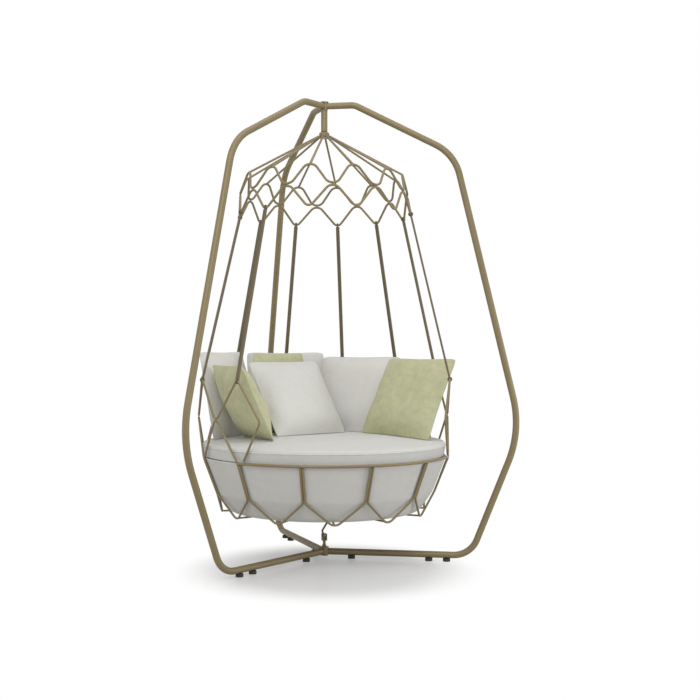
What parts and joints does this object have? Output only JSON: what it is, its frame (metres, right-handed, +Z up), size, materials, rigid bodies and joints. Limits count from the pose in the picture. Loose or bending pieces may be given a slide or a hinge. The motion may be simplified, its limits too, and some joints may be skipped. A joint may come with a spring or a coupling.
{
  "type": "hanging sofa",
  "caption": "Hanging round sofa: a padded wire basket with loose pillows on tie rods under a wavy wire canopy, hung by a swivel joint in a stand of bent tube legs.",
  "frame": {"origin": "on the floor under the middle of the overall bounding box; the hub axis stands 178.4 mm in front of it, at y = -0.1784 m", "axes": "+Z up, the open front of the basket towards -Y, +X to the right as seen from the front"},
  "size_m": [1.7604, 1.6707, 2.4003],
  "materials": {
    "frame_paint": "satin champagne-brown powder coat",
    "rod_paint": "satin darker brown powder coat",
    "rubber": "matt",
    "bare_steel": "turned",
    "white_fabric": "plain outdoor weave, off-white",
    "tub_fabric": "plain outdoor weave, off-white",
    "foam": "covered foam block",
    "green_fabric": "plain outdoor weave, pale olive green"
  },
  "bodies": {
    "stand": {"left_leg": "frame_paint", "right_leg": "frame_paint", "rear_leg": "frame_paint", "top_hub": "frame_paint", "hub_cap": "frame_paint", "base_hub": "frame_paint", "stem": "frame_paint", "upper_yoke": "bare_steel", "feet": "rubber", "tether_post": "frame_paint"},
    "cross": {"joint_cross": "bare_steel"},
    "hanger": {"lower_yoke": "bare_steel", "lower_race": "bare_steel", "bearing_balls": "bare_steel", "hanger_nut": "bare_steel"},
    "basket": {"back_lattice": "frame_paint", "canopy_spokes": "frame_paint", "crown_hub": "frame_paint", "front_cell_1": "frame_paint", "front_cell_2": "frame_paint", "front_cell_3": "frame_paint", "front_cell_4": "frame_paint", "green_pillow_back": "green_fabric", "green_pillow_left": "green_fabric", "green_pillow_right": "green_fabric", "keel_plate": "frame_paint", "keel_spokes": "frame_paint", "lower_wave": "frame_paint", "rim_bar": "frame_paint", "seat_cushion": "white_fabric", "seat_foam": "foam", "seat_tub": "tub_fabric", "side_cell_1": "frame_paint", "side_cell_2": "frame_paint", "side_cell_3": "frame_paint", "side_cell_4": "frame_paint", "side_cell_5": "frame_paint", "side_cell_6": "frame_paint", "side_cell_7": "frame_paint", "side_cell_8": "frame_paint", "tie_rod_1": "rod_paint", "tie_rod_2": "rod_paint", "tie_rod_3": "rod_paint", "tie_rod_4": "rod_paint", "tie_rod_5": "rod_paint", "tie_rod_6": "rod_paint", "tie_rod_7": "rod_paint", "tie_rod_8": "rod_paint", "tie_rod_9": "rod_paint", "upper_race": "bare_steel", "upper_wave": "frame_paint", "white_pillow_back": "white_fabric", "white_pillow_front": "white_fabric", "white_pillow_left": "white_fabric", "white_pillow_right": "white_fabric"},
    "knuckle": {"tether_knuckle": "frame_paint", "knuckle_pins": "bare_steel"},
    "tether": {"tether_rod": "frame_paint", "tether_ball": "rubber"}
  },
  "joints": [
    {"name": "swing_fore_aft", "type": "hinge", "parent": "stand", "child": "cross", "pos_m": [0, -0.1784, 2.2843], "axis": [1, 0, 0], "range_deg": [-2, 2]},
    {"name": "swing_side", "type": "hinge", "parent": "cross", "child": "hanger", "pos_m": [0, -0.1784, 2.2843], "axis": [0, 1, 0], "range_deg": [-2, 2]},
    {"name": "swivel", "type": "hinge", "parent": "hanger", "child": "basket", "pos_m": [0, -0.1784, 2.2243], "axis": [0, 0, 1], "continuous": true},
    {"name": "tether_fore_aft", "type": "hinge", "parent": "stand", "child": "knuckle", "pos_m": [0, -0.1784, 0.0963], "axis": [1, 0, 0], "range_deg": [-24.2, 24.2]},
    {"name": "tether_side", "type": "hinge", "parent": "knuckle", "child": "tether", "pos_m": [0, -0.1784, 0.1183], "axis": [0, 1, 0], "range_deg": [-27.6, 27.6]}
  ],
  "couplings": [
    {"joint": "tether_fore_aft", "follows": "swing_fore_aft", "ratio": -12.07},
    {"joint": "tether_side", "follows": "swing_side", "ratio": -13.75}
  ]
}
